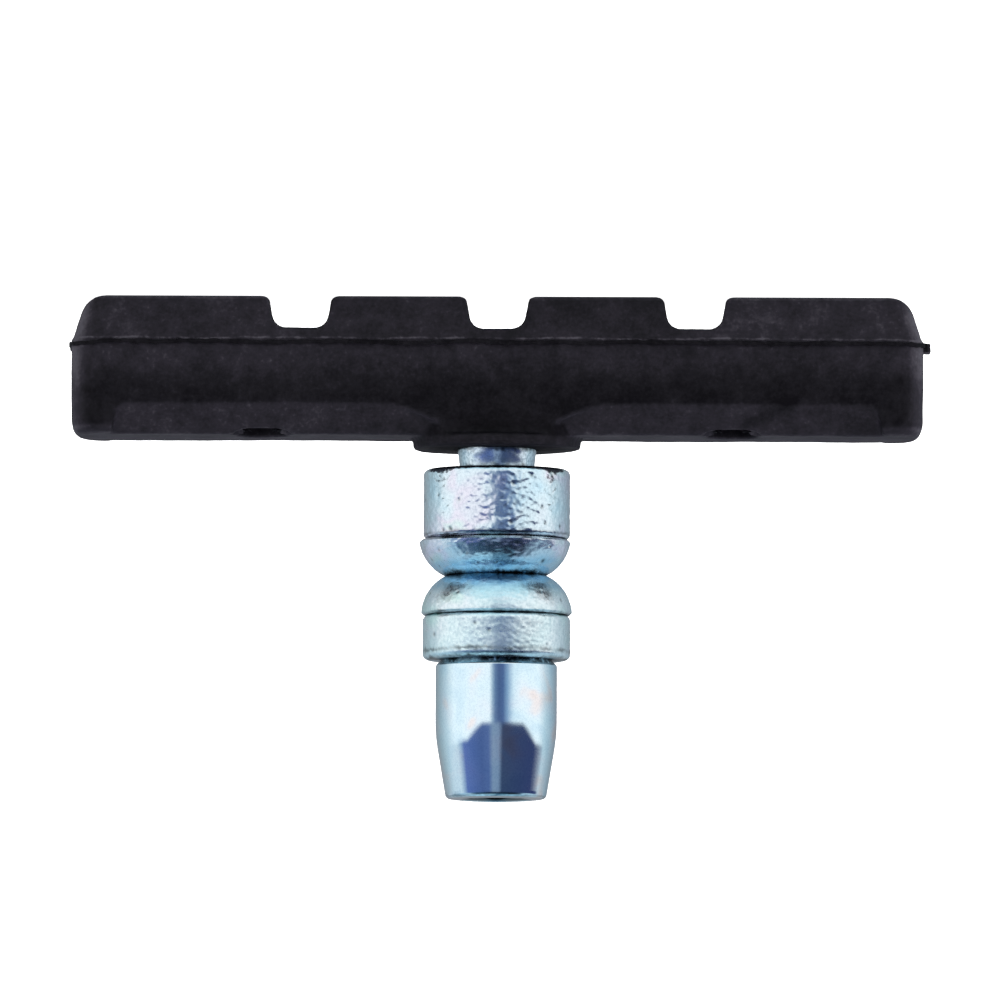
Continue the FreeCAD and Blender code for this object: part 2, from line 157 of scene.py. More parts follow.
# %% Rings of colour round the tent
# A ring lists bearings in degrees, from straight ahead towards the picture's right, and the colours there
BACK_GREY = "#8d9096"
RINGS = {
    "low": [
        (-180, BACK_GREY), (-150, "#979ea2"), (-131, "#a5b2b8"), (-112, "#c4d1d7"), (-88, "#ffffff"),
        (-13, "#ffffff"), (-7, "#a9b8c8"), (-2, "#6a7fa0"), (5, "#52648a"), (13, "#566b94"), (21, "#8ea6c2"),
        (34, "#eef4f8"), (48, "#ffffff"), (88, "#ffffff"), (107, "#ccd9de"), (124, "#acbbc4"),
        (150, "#8f99a1"), (180, BACK_GREY),
    ],
    "under": [
        (-180, BACK_GREY), (-131, "#a5b2b8"), (-88, "#ffffff"), (-10, "#fbfdfe"), (5, "#c3d2dc"),
        (20, "#fbfdfe"), (88, "#ffffff"), (124, "#acbbc4"), (180, BACK_GREY),
    ],
    "high": [
        (-180, BACK_GREY), (-140, "#aab4bd"), (-112, "#c6d2dc"), (-84, "#d4dde4"), (-74, "#a0b0c8"),
        (-67, "#6274ac"), (-30, "#516392"), (-15, "#5a6c9a"), (-6, "#8997ad"), (5, "#8291a9"),
        (13, "#3d4a66"), (94, "#343d66"), (103, "#4a5478"), (110, "#b9cad5"), (130, "#bccad4"),
        (150, "#a2abb2"), (180, BACK_GREY),
    ],
    "upper": [
        (-180, "#a3a8ac"), (-120, "#a8bcc8"), (-98, "#b2c9d8"), (-76, "#b2c9d8"), (-54, "#41607a"),
        (-20, "#22384c"), (8, "#1a2838"), (48, "#151d2a"), (62, "#4c6076"), (80, "#b2c9d8"),
        (100, "#b2c9d8"), (122, "#a8bcc8"), (180, "#a3a8ac"),
    ],
    "roof": [
        (-180, "#5c8298"), (-150, "#b2d6e6"), (-20, "#b6dcec"), (6, "#52788e"), (42, "#52788e"),
        (66, "#b2d6e6"), (150, "#b2d6e6"), (180, "#5c8298"),
    ],
    "ground": [
        (-180, "#5f8fae"), (-150, "#507388"), (-118, "#33444f"), (-92, "#55707f"), (-64, "#cdebf5"),
        (64, "#cdebf5"), (92, "#55707f"), (118, "#33444f"), (150, "#507388"), (180, "#5f8fae"),
    ],
}
rings = {}
for name, colours in RINGS.items():
    stops = [(0.5 + degrees / 360, colour) for degrees, colour in colours]
    rings[name] = add_node(tent, "ShaderNodeValToRGB", {0: turn}, stops=stops).outputs[0]
    print(name, "ring:", len(stops), "colours")

# %% Dark cards and backdrop
CARD_MIDDLE, CARD_LEVEL_HALF = math.radians(13), math.radians(39)
CARD_SLOPE, CARD_SLOPE_WIDTH = -0.25, math.radians(32)
CARD_EDGE_LOW, CARD_EDGE_HIGH = math.radians(-2.0), math.radians(3.0)
TENT_STRENGTH, BACKDROP_STRENGTH = 1.05, 1.2


def change_over(lower, upper, start, end):
    """Goes softly from the lower colour to the upper one while the height goes from start to end degrees."""
    share = add_node(tent, "ShaderNodeMapRange", {
        0: height, 1: math.radians(start), 2: math.radians(end)}, interpolation_type="SMOOTHSTEP").outputs[0]
    return add_node(tent, "ShaderNodeMix", {0: share, 6: lower, 7: upper}, data_type="RGBA").outputs[2]


off_middle = add_node(tent, "ShaderNodeMath", {0: bearing, 1: CARD_MIDDLE}, operation="SUBTRACT").outputs[0]
to_side = add_node(tent, "ShaderNodeMath", {0: off_middle}, operation="ABSOLUTE").outputs[0]
past_level = add_node(tent, "ShaderNodeMath", {
    0: to_side, 1: CARD_LEVEL_HALF}, operation="SUBTRACT").outputs[0]
past_level = add_node(tent, "ShaderNodeClamp", {0: past_level, 1: 0.0, 2: CARD_SLOPE_WIDTH}).outputs[0]
over_edge = add_node(tent, "ShaderNodeMath", {
    0: past_level, 1: CARD_SLOPE, 2: height}, operation="MULTIPLY_ADD").outputs[0]
on_card = add_node(tent, "ShaderNodeMapRange", {
    0: over_edge, 1: CARD_EDGE_LOW, 2: CARD_EDGE_HIGH}, interpolation_type="SMOOTHSTEP").outputs[0]
below_card = change_over(rings["under"], rings["low"], -20, -9)
walls = add_node(tent, "ShaderNodeMix", {
    0: on_card, 6: below_card, 7: rings["high"]}, data_type="RGBA").outputs[2]
walls = change_over(walls, rings["upper"], 17, 25)
with_roof = change_over(walls, rings["roof"], 51, 60)
tent_colour = change_over(rings["ground"], with_roof, -50, -34)
lit_tent = add_node(tent, "ShaderNodeBackground", {
    "Color": tent_colour, "Strength": TENT_STRENGTH}).outputs[0]
plain_white = add_node(tent, "ShaderNodeBackground", {
    "Color": linear("#ffffff"), "Strength": BACKDROP_STRENGTH}).outputs[0]
seen_directly = add_node(tent, "ShaderNodeLightPath").outputs["Is Camera Ray"]
backdrop = add_node(tent, "ShaderNodeMixShader", {0: seen_directly, 1: lit_tent, 2: plain_white}).outputs[0]
add_node(tent, "ShaderNodeOutputWorld", {"Surface": backdrop})
print("tent nodes:", len(tent.nodes))

# %% White table
TABLE_RADIUS = 4.0
TABLE_DROP = 0.03 * MM
TABLE_GLOW = 1.1

table_top = bpy.data.materials.new("lit_white_acrylic")
table_top.use_nodes = True
table_top.node_tree.nodes.clear()
acrylic = add_node(table_top.node_tree, "ShaderNodeBsdfPrincipled", {
    "Base Color": linear("#f4f4f4"), "Roughness": 0.6,
    "Emission Color": linear("#ffffff"), "Emission Strength": TABLE_GLOW})
add_node(table_top.node_tree, "ShaderNodeOutputMaterial", {"Surface": acrylic.outputs[0]})

shape = bmesh.new()
bmesh.ops.create_circle(shape, cap_ends=True, segments=96, radius=TABLE_RADIUS)
bmesh.ops.translate(shape, verts=shape.verts, vec=(0.0, 0.0, -TABLE_DROP))
table_mesh = bpy.data.meshes.new("table")
shape.to_mesh(table_mesh)
shape.free()
table_mesh.materials.append(table_top)
table = bpy.data.objects.new("table", table_mesh)
bpy.context.collection.objects.link(table)
table.visible_glossy = False
print("table radius", TABLE_RADIUS, "m")

# %% Neutral softboxes
for name, place, width, power in (
    ("overhead_softbox", (0.0, -0.25, 0.60), 0.5, 4.0),
    ("left_softbox", (0.45, -0.45, 0.25), 0.35, 1.6),
    ("right_softbox", (-0.50, -0.35, 0.20), 0.35, 2.2),
    ("left_edge_softbox", (0.50, 0.05, 0.12), 0.25, 1.6),
    ("right_edge_softbox", (-0.50, 0.05, 0.12), 0.25, 2.6),
    ("back_softbox", (0.0, 0.6, 0.45), 0.5, 2.5),
):
    light = bpy.data.lights.new(name, "AREA")
    light.size = width
    light.energy = power
    softbox = bpy.data.objects.new(name, light)
    softbox.location = place
    softbox.rotation_euler = (-Vector(place)).to_track_quat("-Z", "Y").to_euler()
    softbox.visible_camera = False
    softbox.visible_glossy = False
    bpy.context.collection.objects.link(softbox)
    print(name, "at", place)

# %% [markdown]
# ## Moulded rubber
# Carbon-black rubber is almost black and has a soft, dull gloss. Out of the mould it carries a pale bloom: a
# film that wears off where hands and tools touch. The block stores in one attribute how much bloom a place
# has, together with painted light and painted shade: paler where faces tilt up and along lit edges, darker
# where shade falls. Noise at three sizes breaks it up into clouds, mottling and specks. The mould's own grain
# is finer than a pixel, so it is drawn coarser, just large enough to show.

# %% Bloom and painted light on the rubber
CLOUD_MM, MOTTLE_MM, SPECK_MM, GRAIN_MM = 4.5, 1.3, 0.28, 0.2
CLOUD_SWING, MOTTLE_SWING, SPECK_SWING, DUST_GAIN = 0.6, 0.8, 0.3, 0.1

moulded_rubber = bpy.data.materials.new("moulded_carbon_black_rubber")
moulded_rubber.use_nodes = True
tree = moulded_rubber.node_tree
tree.nodes.clear()
place = add_node(tree, "ShaderNodeTexCoord").outputs["Object"]
# The attribute holds the bloom together with painted light and painted shade on the block
bloom_and_light = add_node(tree, "ShaderNodeAttribute", attribute_name="bloom_and_light").outputs["Fac"]
clouds = add_node(tree, "ShaderNodeTexNoise", {
    "Vector": place, "Scale": scale_for(CLOUD_MM), "Detail": 4.0, "Roughness": 0.6}).outputs["Fac"]
mottle = add_node(tree, "ShaderNodeTexNoise", {
    "Vector": place, "Scale": scale_for(MOTTLE_MM), "Detail": 5.0, "Roughness": 0.7}).outputs["Fac"]
specks = add_node(tree, "ShaderNodeTexNoise", {
    "Vector": place, "Scale": scale_for(SPECK_MM), "Detail": 1.0, "Roughness": 0.4}).outputs["Fac"]
for pattern, swing in ((clouds, CLOUD_SWING), (mottle, MOTTLE_SWING), (specks, SPECK_SWING)):
    centred = add_node(tree, "ShaderNodeMapRange", {0: pattern, 3: -swing / 2, 4: swing / 2}).outputs[0]
    bloom_and_light = add_node(tree, "ShaderNodeMath", {0: bloom_and_light, 1: centred}, operation="ADD").outputs[0]
dust = add_node(tree, "ShaderNodeMapRange", {0: specks, 1: 0.66, 2: 0.80, 3: 0.0, 4: DUST_GAIN}).outputs[0]
bloom_and_light = add_node(tree, "ShaderNodeMath", {0: bloom_and_light, 1: dust}, operation="ADD").outputs[0]
print("rubber: clouds", CLOUD_MM, "mm, mottling", MOTTLE_MM, "mm, specks", SPECK_MM, "mm")

# %% Painted highlight beside the parting fin
# Where the fin meets the drafted wall, a broken pale line is painted in the corner as a highlight
PARTING_HEIGHT = 3.9
HIGHLIGHT_LINE_HEIGHT, HIGHLIGHT_LINE_HALF, HIGHLIGHT_LINE_WANDER = PARTING_HEIGHT - 0.34, 0.15, 0.3

depth = add_node(tree, "ShaderNodeSeparateXYZ", {0: place}).outputs[2]
wander = add_node(tree, "ShaderNodeMapRange", {
    0: clouds, 3: -HIGHLIGHT_LINE_WANDER * MM, 4: HIGHLIGHT_LINE_WANDER * MM}).outputs[0]
level = add_node(tree, "ShaderNodeMath", {0: depth, 1: wander}, operation="ADD").outputs[0]
from_line = add_node(tree, "ShaderNodeMath", {
    0: level, 1: HIGHLIGHT_LINE_HEIGHT * MM}, operation="SUBTRACT").outputs[0]
from_line = add_node(tree, "ShaderNodeMath", {0: from_line}, operation="ABSOLUTE").outputs[0]
# Painted highlight: a thin pale line along the wall just below the fin
line = add_node(tree, "ShaderNodeMapRange", {
    0: from_line, 1: 0.0, 2: HIGHLIGHT_LINE_HALF * MM, 3: 1.0, 4: 0.0}, interpolation_type="SMOOTHSTEP").outputs[0]
gaps = add_node(tree, "ShaderNodeMapRange", {0: mottle, 1: 0.38, 2: 0.66, 3: 0.05, 4: 0.6}).outputs[0]
line = add_node(tree, "ShaderNodeMath", {0: line, 1: gaps}, operation="MULTIPLY").outputs[0]
bloom_and_light = add_node(tree, "ShaderNodeMath", {0: bloom_and_light, 1: line}, operation="ADD", use_clamp=True).outputs[0]
print(f"pale line at {HIGHLIGHT_LINE_HEIGHT:.2f} mm")

# %% Rubber material
RUBBER_GLOSS = 0.06
GRAIN_DEPTH = 0.03

rubber_colour = add_node(tree, "ShaderNodeValToRGB", {0: bloom_and_light}, stops=[
    (0.0, "#070609"), (0.3, "#111014"), (0.6, "#1c1a20"), (1.0, "#343238")]).outputs[0]
dullness = add_node(tree, "ShaderNodeMapRange", {0: mottle, 1: 0.3, 2: 0.7, 3: 0.55, 4: 0.72}).outputs[0]
grain = add_node(tree, "ShaderNodeTexNoise", {
    "Vector": place, "Scale": scale_for(GRAIN_MM), "Detail": 3.0, "Roughness": 0.6}).outputs["Fac"]
grain_bump = add_node(tree, "ShaderNodeBump", {
    "Height": grain, "Strength": 0.35, "Distance": GRAIN_DEPTH * MM}).outputs[0]
rubber_shader = add_node(tree, "ShaderNodeBsdfPrincipled", {
    "Base Color": rubber_colour, "Roughness": dullness, "Specular IOR Level": RUBBER_GLOSS,
    "Normal": grain_bump})
add_node(tree, "ShaderNodeOutputMaterial", {"Surface": rubber_shader.outputs[0]})
print("rubber nodes:", len(tree.nodes))

# %% [markdown]
# ## Zinc plate
# Bright zinc with a blue chromate film is a mirror with a cool tint, and the thin film drifts to pink, straw
# and cyan where it is thicker. The pressed washers are rougher than the turned nut, so one function makes the
# finish for each of them. Oil and black dust settle in the joints, and the same near-black also paints the
# shade between touching pieces, the shade in the nut's bore and socket and a dark reflection at its rim: each
# piece stores this dirt and painted shade in an attribute. A blue tint painted at the necks of the domes is a
# painted reflection, stored in an attribute of its own.

# %% Zinc plate material
# Near-black for dirt and painted shade, and blue for the painted reflection at the domes' necks
GRIME_AND_SHADE_COLOUR, NECK_REFLECTION_COLOUR = "#15171c", "#a4d6f0"
HAZE_SPREAD = 0.25
DIMPLE_DEPTH = 0.03


def zinc_plate(name, film, stain_mm, speckle_mm, speckle, dimple_strength, roughness):
    """Blue-passivated zinc: film lists the tints of its film, and speckle is the darkest fleck's colour."""
    material = bpy.data.materials.new(name)
    material.use_nodes = True
    tree = material.node_tree
    tree.nodes.clear()
    place = add_node(tree, "ShaderNodeTexCoord").outputs["Object"]
    stains = add_node(tree, "ShaderNodeTexNoise", {
        "Vector": place, "Scale": scale_for(stain_mm), "Detail": 1.5, "Roughness": 0.5, "Distortion": 0.4})
    flecks = add_node(tree, "ShaderNodeTexNoise", {
        "Vector": place, "Scale": scale_for(speckle_mm), "Detail": 2.0, "Roughness": 0.6}).outputs["Fac"]
    film_tint = add_node(tree, "ShaderNodeValToRGB", {0: stains.outputs["Fac"]}, stops=film).outputs[0]
    fleck_tint = add_node(tree, "ShaderNodeValToRGB", {0: flecks}, stops=[
        (0.34, speckle), (0.58, "#ffffff")]).outputs[0]
    tint = add_node(tree, "ShaderNodeMix", {
        0: 1.0, 6: film_tint, 7: fleck_tint}, data_type="RGBA", blend_type="MULTIPLY").outputs[2]
    # Painted reflection at the domes' necks, then dirt with painted shade in joints and recesses
    for attribute, colour in (("blueing", NECK_REFLECTION_COLOUR), ("grime_and_shade", GRIME_AND_SHADE_COLOUR)):
        amount = add_node(tree, "ShaderNodeAttribute", attribute_name=attribute).outputs["Fac"]
        tint = add_node(tree, "ShaderNodeMix", {
            0: amount, 6: tint, 7: linear(colour)}, data_type="RGBA").outputs[2]
    haze = add_node(tree, "ShaderNodeMapRange", {
        0: flecks, 1: 0.3, 2: 0.7,
        3: roughness * (1 + HAZE_SPREAD), 4: roughness * (1 - HAZE_SPREAD)}).outputs[0]
    relief = add_node(tree, "ShaderNodeBump", {
        "Height": flecks, "Strength": dimple_strength, "Distance": DIMPLE_DEPTH * MM}).outputs[0]
    shader = add_node(tree, "ShaderNodeBsdfPrincipled", {
        "Base Color": tint, "Metallic": 1.0, "Roughness": haze, "Normal": relief})
    add_node(tree, "ShaderNodeOutputMaterial", {"Surface": shader.outputs[0]})
    print(name, "stains", stain_mm, "mm, flecks", speckle_mm, "mm")
    return material


# %% Zinc plate on each kind of steel
WASHER_FILM = [
    (0.25, "#d0eefc"), (0.40, "#dff3fc"), (0.52, "#e4f2fb"),
    (0.60, "#ebeaf8"), (0.70, "#def6f4"), (0.82, "#cfeef8"),
]
pressed_zinc = zinc_plate("zinc_plate_on_pressed_steel", WASHER_FILM, stain_mm=3.6, speckle_mm=0.24,
                          speckle="#f0f3f5", dimple_strength=0.16, roughness=0.19)
tumbled_zinc = zinc_plate("zinc_plate_on_tumbled_steel", [
    (0.25, "#d9f4ff"), (0.42, "#e6fbff"), (0.60, "#effaff"), (0.72, "#e4fdfa"), (0.84, "#dcf6ff"),
], stain_mm=4.5, speckle_mm=0.24, speckle="#eef3f5", dimple_strength=0.14, roughness=0.33)
drawn_zinc = zinc_plate("zinc_plate_on_drawn_steel", WASHER_FILM, stain_mm=3.6, speckle_mm=0.24,
                        speckle="#f0f3f5", dimple_strength=0.12, roughness=0.25)
turned_zinc = zinc_plate("zinc_plate_on_turned_steel", [
    (0.28, "#d2ecf9"), (0.44, "#def4fd"), (0.60, "#e4f3fc"),
    (0.69, "#f0eced"), (0.75, "#efe4e0"), (0.86, "#dff4f8"),
], stain_mm=2.4, speckle_mm=0.17, speckle="#f2f4f8", dimple_strength=0.03, roughness=0.07)
stud_zinc = zinc_plate("zinc_plate_on_rolled_thread", [
    (0.30, "#cfe4ee"), (0.50, "#dfeffa"), (0.70, "#d6e6ec"),
], stain_mm=3.0, speckle_mm=0.3, speckle="#c4ccd2", dimple_strength=0.15, roughness=0.18)

# %% [markdown]
# ## Helpers for pieces
# A turned piece starts as half a cross-section: a loop of straight runs and arcs, with some corners rounded.
# Its long edges are divided, and the loop is spun round the stud's axis. Every piece is then put on the body
# that carries it.

# %% Turned shapes
FULL_TURN = 2 * math.pi
ARC_STEPS, ROUNDING_SEGMENTS = 28, 8
UNSEEN_COARSER = 6


def half_section(steps):
    """A closed loop in the XZ plane. A step, in mm, is (r, z), (r, z, rounding) or ('arc', r, z, degrees)."""
    shape = bmesh.new()
    rounded = []
    first = last = None
    for step in steps:
        if step[0] == "arc":
            centre = (step[1] * MM, 0.0, step[2] * MM)
            arc = bmesh.ops.spin(shape, geom=[last], cent=centre, axis=(0.0, 1.0, 0.0), dvec=(0.0, 0.0, 0.0),
                                 angle=math.radians(step[3]), steps=ARC_STEPS, use_merge=False)
            last = next(item for item in arc["geom_last"] if isinstance(item, bmesh.types.BMVert))
            continue
        corner = shape.verts.new((step[0] * MM, 0.0, step[1] * MM))
        if last:
            shape.edges.new((last, corner))
        if len(step) > 2:
            rounded.append((corner, step[2] * MM))
        first, last = first or corner, corner
    shape.edges.new((last, first))
    for corner, rounding in rounded:
        bmesh.ops.bevel(shape, geom=[corner], offset=rounding, offset_type="OFFSET", affect="VERTICES",
                        segments=ROUNDING_SEGMENTS, profile=0.5, material=-1)
    return shape


def spin_section(shape, spacing_mm, around_steps, seen=None):
    """Divides the section's edges, the unseen ones coarsely, and spins it to a closed solid."""
    for edge in list(shape.edges):
        middle = (edge.verts[0].co + edge.verts[1].co) / 2
        spacing = spacing_mm if seen is None or seen(middle / MM) else spacing_mm * UNSEEN_COARSER
        cuts = math.ceil(edge.calc_length() / (spacing * MM)) - 1
        if cuts > 0:
            bmesh.ops.subdivide_edges(shape, edges=[edge], cuts=cuts)
    bmesh.ops.spin(shape, geom=shape.verts[:] + shape.edges[:], cent=(0.0, 0.0, 0.0), axis=(0.0, 0.0, 1.0),
                   dvec=(0.0, 0.0, 0.0), angle=FULL_TURN, steps=around_steps, use_merge=True)
    bmesh.ops.remove_doubles(shape, verts=shape.verts, dist=0.0005 * MM)
    bmesh.ops.recalc_face_normals(shape, faces=shape.faces)
    return shape


print("a full turn is", round(FULL_TURN, 3), "radians")


# %% Working shapes and finished pieces
def finish_piece(name, shape, material, body, replaced, paint, sharp_degrees=35.0):
    """Makes the piece's object at the origin, paints its attributes, shades it and puts it on its body."""
    mesh = bpy.data.meshes.new(name)
    shape.normal_update()
    amounts = {attribute: [amount_at(vertex.co / MM, vertex.normal) for vertex in shape.verts]
               for attribute, amount_at in paint.items()}
    shape.to_mesh(mesh)
    shape.free()
    for attribute, values in amounts.items():
        mesh.attributes.new(attribute, "FLOAT", "POINT").data.foreach_set("value", values)
    mesh.materials.append(material)
    mesh.shade_smooth()
    mesh.set_sharp_from_angle(angle=math.radians(sharp_degrees))
    piece = bpy.data.objects.new(name, mesh)
    bpy.context.collection.objects.link(piece)
    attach(piece, body)
    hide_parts(replaced)
    triangles = sum(len(face.vertices) - 2 for face in mesh.polygons)
    print(f"{name}: {triangles} triangles, on {body}")


def work_object(name, shape):
    """A passing object for a modifier to run on or to cut with."""
    mesh = bpy.data.meshes.new(name)
    shape.to_mesh(mesh)
    shape.free()
    worker = bpy.data.objects.new(name, mesh)
    bpy.context.collection.objects.link(worker)
    return worker


def evaluated_shape(shape, *modifiers):
    """Runs modifiers, each given as its type and settings, on a shape and returns the result."""
    worker = work_object("work", shape)
    for kind, settings in modifiers:
        modifier = worker.modifiers.new(kind, kind)
        for name, value in settings.items():
            setattr(modifier, name, value)
    result = bpy.data.meshes.new_from_object(worker.evaluated_get(bpy.context.evaluated_depsgraph_get()))
    done = bmesh.new()
    done.from_mesh(result)
    bpy.data.objects.remove(worker)
    bpy.data.meshes.remove(result)
    return done


def push(shape, distance_at):
    """Moves every vertex along its normal by what distance_at(place in mm, normal) gives in mm."""
    shape.normal_update()
    moves = [vertex.normal * distance_at(vertex.co / MM, vertex.normal) * MM for vertex in shape.verts]
    for vertex, move in zip(shape.verts, moves):
        vertex.co += move


def ramp(value, start, end):
    """A soft step from 0 at start to 1 at end."""
    share = min(1.0, max(0.0, (value - start) / (end - start)))
    return share * share * (3.0 - 2.0 * share)


print("half way up a soft step:", ramp(0.5, 0.0, 1.0))

# %% [markdown]
# ## Rubber block
# The CAD block has the right shape but ruled edges. A voxel remesh turns a merged copy into even small faces,
# a little smoothing softens every edge as a mould does, and noise makes the walls slightly uneven. The CAD
# fin is taken off, because the next step makes a finer one.

# %% Rubber block
VOXEL = 0.24 * MM
BLOCK_HALF_LENGTH, BLOCK_HALF_WIDTH, BLOCK_CORNER = 35.0, 5.25, 2.6
FIN_HALF_HEIGHT = 0.45
BACK_HEIGHT = 11.4
PIN_X = 19.3
SCOOP_HALF_LENGTH, SCOOP_HEIGHT, SCOOP_DEPTH, SCOOP_INNER_Y = 2.6, 0.52, 0.4, 3.2
# The height of each wave in mm, how many there are in a mm, and where its noise starts
BLOCK_WAVES = (
    (0.05, 0.14, Vector((0.0, 0.0, 0.0))),
    (0.03, 0.45, Vector((5.0, 1.0, 2.0))),
    (0.012, 1.9, Vector((1.0, 7.0, 3.0))),
)
TRUE_FOOT = 0.6


def outside_plan(x, y):
    """How far a place lies outside the block's rounded outline, and the way out, in mm."""
    over_x, over_y = abs(x) - (BLOCK_HALF_LENGTH - BLOCK_CORNER), abs(y) - (BLOCK_HALF_WIDTH - BLOCK_CORNER)
    way = Vector((math.copysign(max(over_x, 0.0), x), math.copysign(max(over_y, 0.0), y), 0.0))
    reach = way.length + min(max(over_x, over_y), 0.0) - BLOCK_CORNER
    return reach, way.normalized() if way.length else way


def pin_scoop(place):
    """How strongly a place belongs to the lens-shaped scoop that a mould pin leaves at the chamfer's edge."""
    along, down = (abs(place.x) - PIN_X) / SCOOP_HALF_LENGTH, (BACK_HEIGHT - place.z) / SCOOP_HEIGHT
    in_front = -BLOCK_HALF_WIDTH < place.y < -SCOOP_INNER_Y
    return ramp(along ** 2 + down ** 2, 1.0, 0.45) if in_front else 0.0


def block_unevenness(place, normal):
    """Waves and a fine grain, kept off the face that the pad stands on, and the pins' scoops."""
    waves = sum(size * noise.noise(place * often + start) for size, often, start in BLOCK_WAVES)
    scoop = SCOOP_DEPTH * pin_scoop(place) if normal.z > 0.2 else 0.0
    return waves * min(1.0, max(0.0, place.z) / TRUE_FOOT) - scoop


block = bmesh.new()
block.from_mesh(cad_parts["rubber_block"].data)
bmesh.ops.remove_doubles(block, verts=block.verts, dist=0.0002 * MM)
block = evaluated_shape(
    block,
    ("REMESH", {"mode": "VOXEL", "voxel_size": VOXEL, "adaptivity": 0.0}),
    ("SMOOTH", {"factor": 0.5, "iterations": 1}),
)
for vertex in block.verts:
    x, y, z = vertex.co / MM
    reach, way = outside_plan(x, y)
    if reach > 0.0 and abs(z - PARTING_HEIGHT) < FIN_HALF_HEIGHT:
        vertex.co -= way * reach * MM
push(block, block_unevenness)
print("block:", len(block.faces), "faces")

# %% [markdown]
# ## Parting fin and gate
# Rubber squeezes out where the two halves of the mould meet. That fin is far thinner than a voxel, so it is a
# strip of its own: one small section swept along the block's outline, with its reach and height made ragged.
# The stub at one end is what is left of the gate, where the mould was filled.

# %% Parting fin
FIN_REACH, FIN_ROOT, FIN_STEP = 0.3, -0.35, 0.15
FIN_SECTION = [(FIN_ROOT, -0.24), (FIN_REACH, -0.17), (FIN_REACH, 0.15), (FIN_ROOT, 0.22)]
FIN_SHORTEST, FIN_LONGEST = 0.5, 1.4
FIN_WANDER, FIN_TREMBLE = 0.16, 0.15

fin = bmesh.new()
straight = Vector((BLOCK_HALF_LENGTH - BLOCK_CORNER, BLOCK_HALF_WIDTH - BLOCK_CORNER))
corners = [fin.verts.new(Vector((-straight.x, -BLOCK_HALF_WIDTH - out, PARTING_HEIGHT + up)) * MM)
           for out, up in FIN_SECTION]
for index, corner in enumerate(corners):
    fin.edges.new((corners[index - 1], corner))
leading = fin.verts[:] + fin.edges[:]
for run, x_side, y_side in ((Vector((1, 0, 0)), 1, -1), (Vector((0, 1, 0)), 1, 1),
                            (Vector((-1, 0, 0)), -1, 1), (Vector((0, -1, 0)), -1, -1)):
    length = 2 * (straight.x * abs(run.x) + straight.y * abs(run.y))
    steps = math.ceil(length / FIN_STEP)
    swept = bmesh.ops.spin(fin, geom=leading, cent=(0.0, 0.0, 0.0), axis=(0.0, 0.0, 1.0), angle=0.0,
                           steps=steps, dvec=run * length * MM / steps, use_merge=False)
    centre = Vector((straight.x * x_side, straight.y * y_side, 0.0)) * MM
    steps = math.ceil(math.pi / 2 * BLOCK_CORNER / FIN_STEP)
    swept = bmesh.ops.spin(fin, geom=swept["geom_last"], cent=centre, axis=(0.0, 0.0, 1.0),
                           angle=math.pi / 2, steps=steps, dvec=(0.0, 0.0, 0.0), use_merge=False)
    leading = swept["geom_last"]
bmesh.ops.remove_doubles(fin, verts=fin.verts, dist=0.001 * MM)
bmesh.ops.recalc_face_normals(fin, faces=fin.faces)
for vertex in fin.verts:
    x, y, z = vertex.co / MM
    reach, way = outside_plan(x, y)
    rise = FIN_WANDER * noise.noise(Vector((x * 0.22, y * 0.22, 17.0)))
    if reach > 0.0:
        slow, quick = noise.noise(Vector((x * 0.5, y * 0.5, 3.0))), noise.noise(Vector((x, y, 9.0)) * 2.1)
        ragged = min(FIN_LONGEST, max(FIN_SHORTEST, 0.6 + 0.8 * slow + 0.4 * quick))
        vertex.co += way * FIN_REACH * (ragged - 1.0) * MM
        rise += FIN_TREMBLE * noise.noise(Vector((x * 1.4, y * 1.4, z * 3.0)))
    vertex.co.z += rise * MM
print("fin:", len(fin.faces), "faces")

# %% Gate stub
GATE_SIZE, GATE_PLACE = Vector((1.2, 2.2, 0.8)), Vector((-35.0, -1.4, 4.0))
GATE_EDGE, GATE_WAVES = 0.1, 0.08

gate = bmesh.new()
gate_placed = Matrix.Translation(GATE_PLACE * MM) @ Matrix.Diagonal(GATE_SIZE * MM).to_4x4()
bmesh.ops.create_cube(gate, size=1.0, matrix=gate_placed)
bmesh.ops.bevel(gate, geom=gate.edges[:], offset=GATE_EDGE * MM, offset_type="OFFSET", affect="EDGES",
                segments=2, profile=0.5, material=-1)
bmesh.ops.subdivide_edges(gate, edges=gate.edges[:], cuts=3, use_grid_fill=True)
push(gate, lambda place, normal: GATE_WAVES * noise.noise(place * 1.8))
for addition in (fin, gate):
    mesh = bpy.data.meshes.new("addition")
    addition.to_mesh(mesh)
    addition.free()
    block.from_mesh(mesh)
    bpy.data.meshes.remove(mesh)
print("block with fin and gate:", len(block.faces), "faces")

# %% [markdown]
# ## Bloom and painted light on the block
# The amount differs from place to place, and much of that is painted light and shade. Painted light makes the
# up-facing chamfers and the rim of the back paler, and painted highlights run along the friction edge and the
# ends. Painted shade darkens the middle of the friction half, the flanks up towards the chamfers, the hub,
# one end, the fin (which is also fresh rubber without bloom) and the pins' scoops, and a painted dark line of
# shade crosses one chamfer where it dips. One function gives the amount for every vertex.

# %% Bloom, painted light and painted shade on the block
FIN_BLOOM_AND_SHADE, WALL_BLOOM, HUB_BLOOM = 0.08, 0.52, 0.34
FIN_START, GATE_START = 0.09, -35.32
CHAMFER_START = 8.8
SHADE_LINE_START, SHADE_LINE_RUN, SHADE_LINE_HALF = Vector((-20.3, 10.5)), Vector((-4.2, -1.8)), 0.45


def on_painted_shade_line(x, z):
    """How near a place is to a painted dark line of shade across a chamfer, where the chamfer dips."""
    across = (Vector((x, z)) - SHADE_LINE_START).cross(SHADE_LINE_RUN.normalized())
    end_x = SHADE_LINE_START.x + SHADE_LINE_RUN.x
    before_end = ramp(x, end_x - 0.6, end_x + 0.4)
    past_start = ramp(x, SHADE_LINE_START.x + 0.8, SHADE_LINE_START.x)
    return math.exp(-(across / SHADE_LINE_HALF) ** 2) * before_end * past_start


